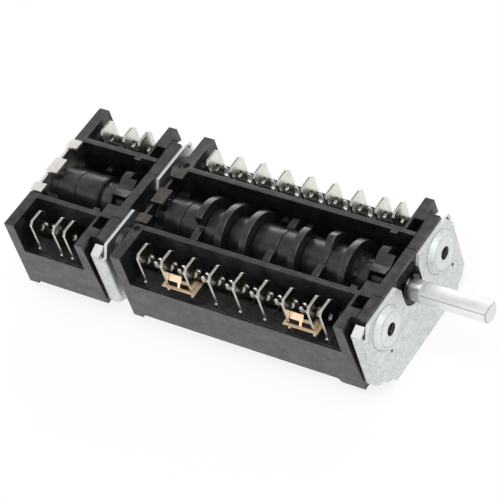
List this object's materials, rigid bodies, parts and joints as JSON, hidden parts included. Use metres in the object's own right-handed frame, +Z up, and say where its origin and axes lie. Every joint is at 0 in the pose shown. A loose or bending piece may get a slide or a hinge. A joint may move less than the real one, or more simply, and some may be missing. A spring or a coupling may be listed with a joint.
{
  "type": "oven selector switch",
  "caption": "Open-frame rotary cam switch for an oven selector: ganged black switch units with push-on blades, cam drums, copper links and a flatted steel spindle.",
  "frame": {"origin": "on the spindle axis at the front face of the front plate", "axes": "+X out along the spindle, +Y to the far row of terminals, +Z up towards the open side of the housings"},
  "size_m": [0.1426, 0.0478, 0.028],
  "materials": {
    "black_moulding": "dull black thermoset moulding",
    "dark_cam_plastic": "dark grey glass-filled moulding",
    "zinc_plated_steel": "bright zinc-plated sheet with fine scratches",
    "dark_plated_steel": "dull plated sheet",
    "tinned_brass": "tin-plated stamped blade",
    "spring_bronze": "bronze leaf with silver pads",
    "bright_copper": "bright bare copper",
    "spindle_steel": "zinc-plated drawn bar",
    "fastener_steel": "bright spring steel"
  },
  "bodies": {
    "switch_frame": {"click_spring": "fastener_steel", "front_bearing_bridge": "black_moulding", "front_bearing_cover": "black_moulding", "front_copper_bridge": "bright_copper", "front_far_contact_springs": "spring_bronze", "front_far_terminal_0": "tinned_brass", "front_far_terminal_1": "tinned_brass", "front_far_terminal_2": "tinned_brass", "front_far_terminal_3": "tinned_brass", "front_far_terminal_4": "tinned_brass", "front_far_terminal_5": "tinned_brass", "front_far_terminal_6": "tinned_brass", "front_far_terminal_7": "tinned_brass", "front_far_terminal_8": "tinned_brass", "front_housing": "black_moulding", "front_mounting_plate": "zinc_plated_steel", "front_near_contact_springs": "spring_bronze", "front_near_terminal_0": "tinned_brass", "front_near_terminal_1": "tinned_brass", "front_near_terminal_2": "tinned_brass", "front_near_terminal_3": "tinned_brass", "front_near_terminal_4": "tinned_brass", "front_near_terminal_5": "tinned_brass", "front_near_terminal_6": "tinned_brass", "front_near_terminal_7": "tinned_brass", "front_near_terminal_8": "tinned_brass", "front_unit_end_plate": "dark_plated_steel", "middle_mounting_plate": "zinc_plated_steel", "rear_bearing_bridge": "black_moulding", "rear_bearing_cover": "black_moulding", "rear_copper_bridge": "bright_copper", "rear_far_contact_springs": "spring_bronze", "rear_far_terminal_0": "tinned_brass", "rear_far_terminal_1": "tinned_brass", "rear_far_terminal_2": "tinned_brass", "rear_housing": "black_moulding", "rear_near_contact_springs": "spring_bronze", "rear_near_terminal_0": "tinned_brass", "rear_near_terminal_1": "tinned_brass", "rear_near_terminal_2": "tinned_brass", "rear_unit_end_plate": "zinc_plated_steel", "unit_link_studs": "fastener_steel"},
    "selector_rotor": {"coupling_shaft": "spindle_steel", "front_cam_ring_1": "dark_cam_plastic", "front_cam_ring_2": "dark_cam_plastic", "front_cam_ring_3": "dark_cam_plastic", "front_cam_ring_4": "dark_cam_plastic", "front_cam_ring_5": "dark_cam_plastic", "front_cam_ring_6": "dark_cam_plastic", "front_cam_ring_7": "dark_cam_plastic", "front_cam_ring_8": "dark_cam_plastic", "front_drum_arbor": "dark_cam_plastic", "rear_cam_ring_1": "dark_cam_plastic", "rear_cam_ring_2": "dark_cam_plastic", "rear_drum_arbor": "dark_cam_plastic", "selector_shaft": "spindle_steel", "spindle_clip": "fastener_steel"}
  },
  "joints": [
    {"name": "selector_turn", "type": "hinge", "parent": "switch_frame", "child": "selector_rotor", "pos_m": [0, 0, 0], "axis": [1, 0, 0], "continuous": true, "deforming": ["click_spring"]}
  ]
}
